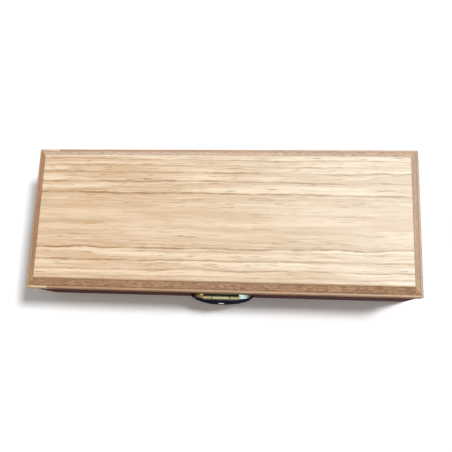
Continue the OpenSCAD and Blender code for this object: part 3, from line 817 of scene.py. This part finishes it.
def cushion_block():
    """The cushion before it is filled: a block with round corners, a little smaller than its space."""
    inset, thick, corner = 0.5 * MM, 5.0 * MM, 3.0 * MM
    middle = (PAD_LOW + PAD_HIGH) / 2
    middle.z = PAD_HIGH.z - thick / 2
    spread = PAD_HIGH - PAD_LOW
    fit = Matrix.Diagonal((spread.x - 2 * inset, spread.y - 2 * inset, thick, 1.0))
    bm = bmesh.new()
    bmesh.ops.create_cube(bm, size=1.0)
    bmesh.ops.transform(bm, matrix=Matrix.Translation(middle) @ fit, verts=bm.verts)
    uprights = [edge for edge in bm.edges if abs(edge.verts[0].co.z - edge.verts[1].co.z) > thick / 2]
    bmesh.ops.bevel(bm, geom=uprights, offset=corner, offset_type="OFFSET", segments=4, profile=0.5,
                    affect="EDGES", material=-1)
    return bm


def fill_cushion(piece, lining):
    """Blows the cushion up against its held back, and keeps each point within its space."""
    held_depth = 0.6 * MM
    start = [vertex.co.copy() for vertex in piece.data.vertices]
    held = piece.vertex_groups.new(name="held")
    back = [index for index, place in enumerate(start) if place.z > PAD_HIGH.z - held_depth]
    held.add(back, 1.0, "REPLACE")
    cloth = piece.modifiers.new("cloth", "CLOTH")
    cloth.settings.quality = 6
    cloth.settings.mass = 0.1
    cloth.settings.use_pressure = True
    cloth.settings.uniform_pressure_force = lining.pressure
    cloth.settings.vertex_group_mass = "held"
    cloth.settings.effector_weights.gravity = 0.0
    cloth.point_cache.frame_start = 1
    cloth.point_cache.frame_end = lining.frames
    scene = bpy.context.scene
    for number in range(1, lining.frames + 1):
        scene.frame_set(number)
    applied(piece)
    scene.frame_set(1)
    piece.vertex_groups.clear()
    for vertex, begun in zip(piece.data.vertices, start):
        move = vertex.co - begun
        if move.length > lining.swell:
            move *= lining.swell / move.length
        place = begun + move
        vertex.co = Vector([min(max(place[i], PAD_LOW[i]), PAD_HIGH[i]) for i in range(3)])


class BOX_OT_lid_cushion(bpy.types.Operator):
    """Satin cushion in the lid, filled by a cloth simulation with its back held to the card"""
    bl_idname = "box.lid_cushion"
    bl_label = "Lid cushion"

    def execute(self, context):
        lining = context.scene.box_lining
        piece = finished(cushion_block(), "lid_pad", "lid", satin_material(lining))
        grid = piece.modifiers.new("grid", "REMESH")
        grid.mode = "VOXEL"
        grid.voxel_size = lining.voxel
        applied(piece)
        fill_cushion(piece, lining)
        for face in piece.data.polygons:
            face.use_smooth = True
        smooth = piece.modifiers.new("smooth", "SUBSURF")
        smooth.levels = smooth.render_levels = 1
        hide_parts("lid_cushion")
        return {"FINISHED"}


class BOX_OT_foam_insert(bpy.types.Operator):
    """Flocked foam insert with its cut edges rounded, and the card behind the lid's cushion"""
    bl_idname = "box.foam_insert"
    bl_label = "Foam insert and card"

    def execute(self, context):
        lining = context.scene.box_lining
        finish = flock_material(lining)
        for layer in ("foam_base", "foam_top"):
            node = "insert_" + layer
            cut_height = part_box(node)[1].z - 0.01 * MM
            bm = merged(node, lambda start, end: float(min(start.z, end.z) > cut_height))
            rounded(bm, node, layer + "_flocked", "case", finish, lining.foam_edge, 4)
        dress(["lid_lining_card"], card_material(lining))
        return {"FINISHED"}


# Stage

# Each card has its name, width, height, place, what it faces, colour, strength and the reflections that show
# it: all, those from afar, or those in the catch. The tables lie just over the floor. Lengths are in metres.
NAVY, BROWN, DUSK = (0.013, 0.016, 0.055), (0.06, 0.04, 0.03), (0.33, 0.26, 0.24)
CREAM, HAZE = (1.0, 0.95, 0.85), (0.6, 0.88, 1.0)
BLUE, PALE_BLUE = (0.33, 0.54, 1.0), (0.45, 0.82, 1.0)
REFLECTED = (
    ("front card", 2.0, 0.3, (0.0, -0.8, 0.15), (0.0, 0.0, 0.15), NAVY, 1.0, "all"),
    ("front light", 0.8, 0.55, (0.0, -0.6, 0.8), (0.0, 0.0, 0.0), CREAM, 1.5, "all"),
    ("front table", 2.0, 0.758, (0.0, -0.421, 0.0003), (0.0, -0.421, 2.0), NAVY, 1.0, "all"),
    ("left card", 1.2, 0.9, (-0.8, 0.0, 0.45), (0.0, 0.0, 0.45), BROWN, 1.0, "all"),
    ("left table", 0.7, 0.161, (-0.461, 0.0395, 0.0003), (-0.461, 0.0395, 2.0), BROWN, 1.0, "all"),
    ("right table", 0.79, 0.942, (0.506, 0.429, 0.0003), (0.506, 0.429, 2.0), HAZE, 2.9, "far"),
    ("back table", 0.2215, 0.855, (0.0, 0.4725, 0.0003), (0.0, 0.4725, 2.0), HAZE, 4.5, "far"),
    ("back left table", 0.289, 0.78, (-0.2555, 0.51, 0.0003), (-0.2555, 0.51, 2.0), HAZE, 4.5, "far"),
    ("window", 0.7, 0.6, (0.5, -0.6, 0.42), (0.0, 0.0, 0.0), BLUE, 3.0, "catch"),
    ("high window", 0.5, 0.7, (0.55, -0.25, 0.8), (0.0, 0.0, 0.0), BLUE, 3.0, "catch"),
    ("wall", 0.7, 0.6, (-0.5, -0.6, 0.42), (0.0, 0.0, 0.0), DUSK, 1.0, "all"),
    ("soft box", 0.9, 0.9, (0.46, 0.25, 1.05), (0.0, 0.0, 0.0), PALE_BLUE, 7.9, "all"),
)
# The camera's place from the middle of the lid's top, in metres, and its turn in degrees.
CAMERA_RIGHT, CAMERA_BACK, CAMERA_UP = 0.0301973, -0.0646762, 0.2946011
CAMERA_TURN = (11.5926, 4.8264, 1.9230)
# How far from the box a lamp is drawn. A distant lamp lights alike from anywhere.
LAMP_REACH = 0.8


def blank_material(name):
    """A new material with its empty tree and the socket for its surface."""
    made = bpy.data.materials.new(name)
    made.use_nodes = True
    made.node_tree.nodes.clear()
    out = add(made.node_tree, "ShaderNodeOutputMaterial")
    return made, made.node_tree, out.inputs["Surface"]


def floor_material():
    """White floor that keeps the shadow, a little paler to the camera so that it meets the background."""
    made, tree, out = blank_material("floor")
    seen = add(tree, "ShaderNodeLightPath").outputs["Is Camera Ray"]
    pale = blend(tree, seen, (0.95, 0.95, 0.95), (1.1, 1.125, 1.15))
    tree.links.new(add(tree, "ShaderNodeBsdfDiffuse", {"Color": pale}).outputs[0], out)
    return made


def glow_material(name, tint, strength, shows):
    """Even glow of a card, which may fade out for rays that start close to it, or away from the catch."""
    made, tree, out = blank_material(name)
    glow = add(tree, "ShaderNodeEmission", {"Color": tint, "Strength": strength}).outputs[0]
    if shows != "all":
        length = add(tree, "ShaderNodeLightPath").outputs["Ray Length"]
        if shows == "far":
            seen = span(tree, length, 15 * MM, 40 * MM)
        else:
            spot = add(tree, "ShaderNodeNewGeometry").outputs["Position"]
            off = calc(tree, "ABSOLUTE", calc(tree, "SUBTRACT", length, distance(tree, spot, CATCH)))
            seen = span(tree, off, 6 * MM, 15 * MM, 1.0, 0.0)
        clear = add(tree, "ShaderNodeBsdfTransparent").outputs[0]
        glow = add(tree, "ShaderNodeMixShader", {0: seen, 1: clear, 2: glow}).outputs[0]
    tree.links.new(glow, out)
    return made


def flat(name, width, height, turn, finish):
    """A flat rectangle of the stage, turned and moved from the middle of the floor."""
    bm = bmesh.new()
    bmesh.ops.create_grid(bm, x_segments=1, y_segments=1, size=0.5)
    bmesh.ops.scale(bm, vec=(width, height, 1.0), verts=bm.verts)
    bmesh.ops.transform(bm, matrix=turn, verts=bm.verts)
    mesh = bpy.data.meshes.new(name)
    bm.to_mesh(mesh)
    bm.free()
    mesh.materials.append(finish)
    made = bpy.data.objects.new(name, mesh)
    bpy.context.scene.collection.objects.link(made)
    return made


def reflected_card(name, width, height, place, aim, tint, strength, shows):
    """A card or soft box that shows only in reflections."""
    turn = (Vector(aim) - Vector(place)).to_track_quat("Z", "Y").to_matrix().to_4x4()
    finish = glow_material(name, tint, strength, shows)
    made = flat(name, width, height, Matrix.Translation(place) @ turn, finish)
    made.visible_camera = made.visible_diffuse = made.visible_shadow = False
    made.visible_transmission = made.visible_volume_scatter = False


def sun(name, slope, level, width, tint):
    """A distant lamp that gives level ground its share of the light, seen from a slope."""
    aim = Vector(slope).normalized()
    lamp = bpy.data.lights.new(name, "SUN")
    lamp.energy = level * math.pi / aim.z
    lamp.angle = width
    lamp.color = tint
    made = bpy.data.objects.new(name, lamp)
    made.rotation_euler = aim.to_track_quat("Z", "Y").to_euler()
    made.location = aim * LAMP_REACH
    bpy.context.scene.collection.objects.link(made)


def studio_world(fill):
    """Even light all round, which the camera, metal and glass see as white."""
    world = bpy.data.worlds.new("studio")
    world.use_nodes = True
    tree = world.node_tree
    tree.nodes.clear()
    light = add(tree, "ShaderNodeBackground", {"Color": WHITE, "Strength": fill})
    white = add(tree, "ShaderNodeBackground", {"Color": WHITE, "Strength": 1.0})
    path = add(tree, "ShaderNodeLightPath").outputs
    seen = calc(tree, "MAXIMUM", path["Is Camera Ray"], path["Is Glossy Ray"])
    seen = calc(tree, "MAXIMUM", seen, path["Is Transmission Ray"])
    mix = add(tree, "ShaderNodeMixShader", {0: seen, 1: light.outputs[0], 2: white.outputs[0]})
    add(tree, "ShaderNodeOutputWorld", {"Surface": mix.outputs[0]})
    return world


class BOX_OT_stage(bpy.types.Operator):
    """White floor, lamps, reflected cards, even light all round and the camera"""
    bl_idname = "box.stage"
    bl_label = "Stage"

    def execute(self, context):
        scene = context.scene
        stage = scene.box_stage
        flat("floor", stage.floor, stage.floor, Matrix.Identity(4), floor_material())
        for row in REFLECTED:
            reflected_card(*row)
        scene.world = studio_world(stage.fill)

        kicker_width = math.radians(40)
        sun("key", (stage.key_slope_x, stage.key_slope_y, 1.0), stage.key, stage.key_width, WHITE)
        sun("left kicker", (-1.0, -0.15, 0.25), stage.kicker, kicker_width, (1.0, 0.78, 0.54))
        sun("back kicker", (0.3, 1.0, 0.16), stage.kicker * 0.6, kicker_width, (0.75, 0.92, 1.0))

        view = bpy.data.cameras.new("camera")
        view.lens = stage.lens
        view.sensor_width = 36.0
        view.clip_start = 0.01
        camera = bpy.data.objects.new("camera", view)
        camera.location = (CAMERA_RIGHT, CAMERA_BACK, BOX_HIGH.z + CAMERA_UP)
        camera.rotation_euler = Euler([math.radians(angle) for angle in CAMERA_TURN], "XYZ")
        scene.collection.objects.link(camera)
        scene.camera = camera
        scene.view_settings.view_transform = "Standard"
        return {"FINISHED"}


class BOX_PT_panel(bpy.types.Panel):
    """Sidebar panel with the box's operators and values"""
    bl_label = "Presentation box"
    bl_idname = "BOX_PT_panel"
    bl_space_type = "VIEW_3D"
    bl_region_type = "UI"
    bl_category = "Presentation box"

    def draw(self, context):
        for maker in OPERATORS:
            self.layout.operator(maker.bl_idname)
        for name in GROUPS:
            values = getattr(context.scene, name)
            box = self.layout.box()
            for key in values.__annotations__:
                box.prop(values, key)


OPERATORS = (BOX_OT_lid_board, BOX_OT_cap_rails, BOX_OT_dark_rails, BOX_OT_brass, BOX_OT_lid_cushion,
             BOX_OT_foam_insert, BOX_OT_stage)
GROUPS = {"box_wood": BoxWood, "box_brass": BoxBrass, "box_lining": BoxLining, "box_stage": BoxStage}


def register():
    for kind in (*GROUPS.values(), *OPERATORS, BOX_PT_panel):
        bpy.utils.register_class(kind)
    for name, kind in GROUPS.items():
        setattr(bpy.types.Scene, name, PointerProperty(type=kind))


def unregister():
    for name in GROUPS:
        delattr(bpy.types.Scene, name)
    for kind in reversed((*GROUPS.values(), *OPERATORS, BOX_PT_panel)):
        bpy.utils.unregister_class(kind)


def main():
    register()
    bpy.ops.box.lid_board()
    bpy.ops.box.cap_rails()
    bpy.ops.box.dark_rails()
    bpy.ops.box.brass()
    bpy.ops.box.lid_cushion()
    bpy.ops.box.foam_insert()
    bpy.ops.box.stage()


if __name__ == "__main__":
    main()
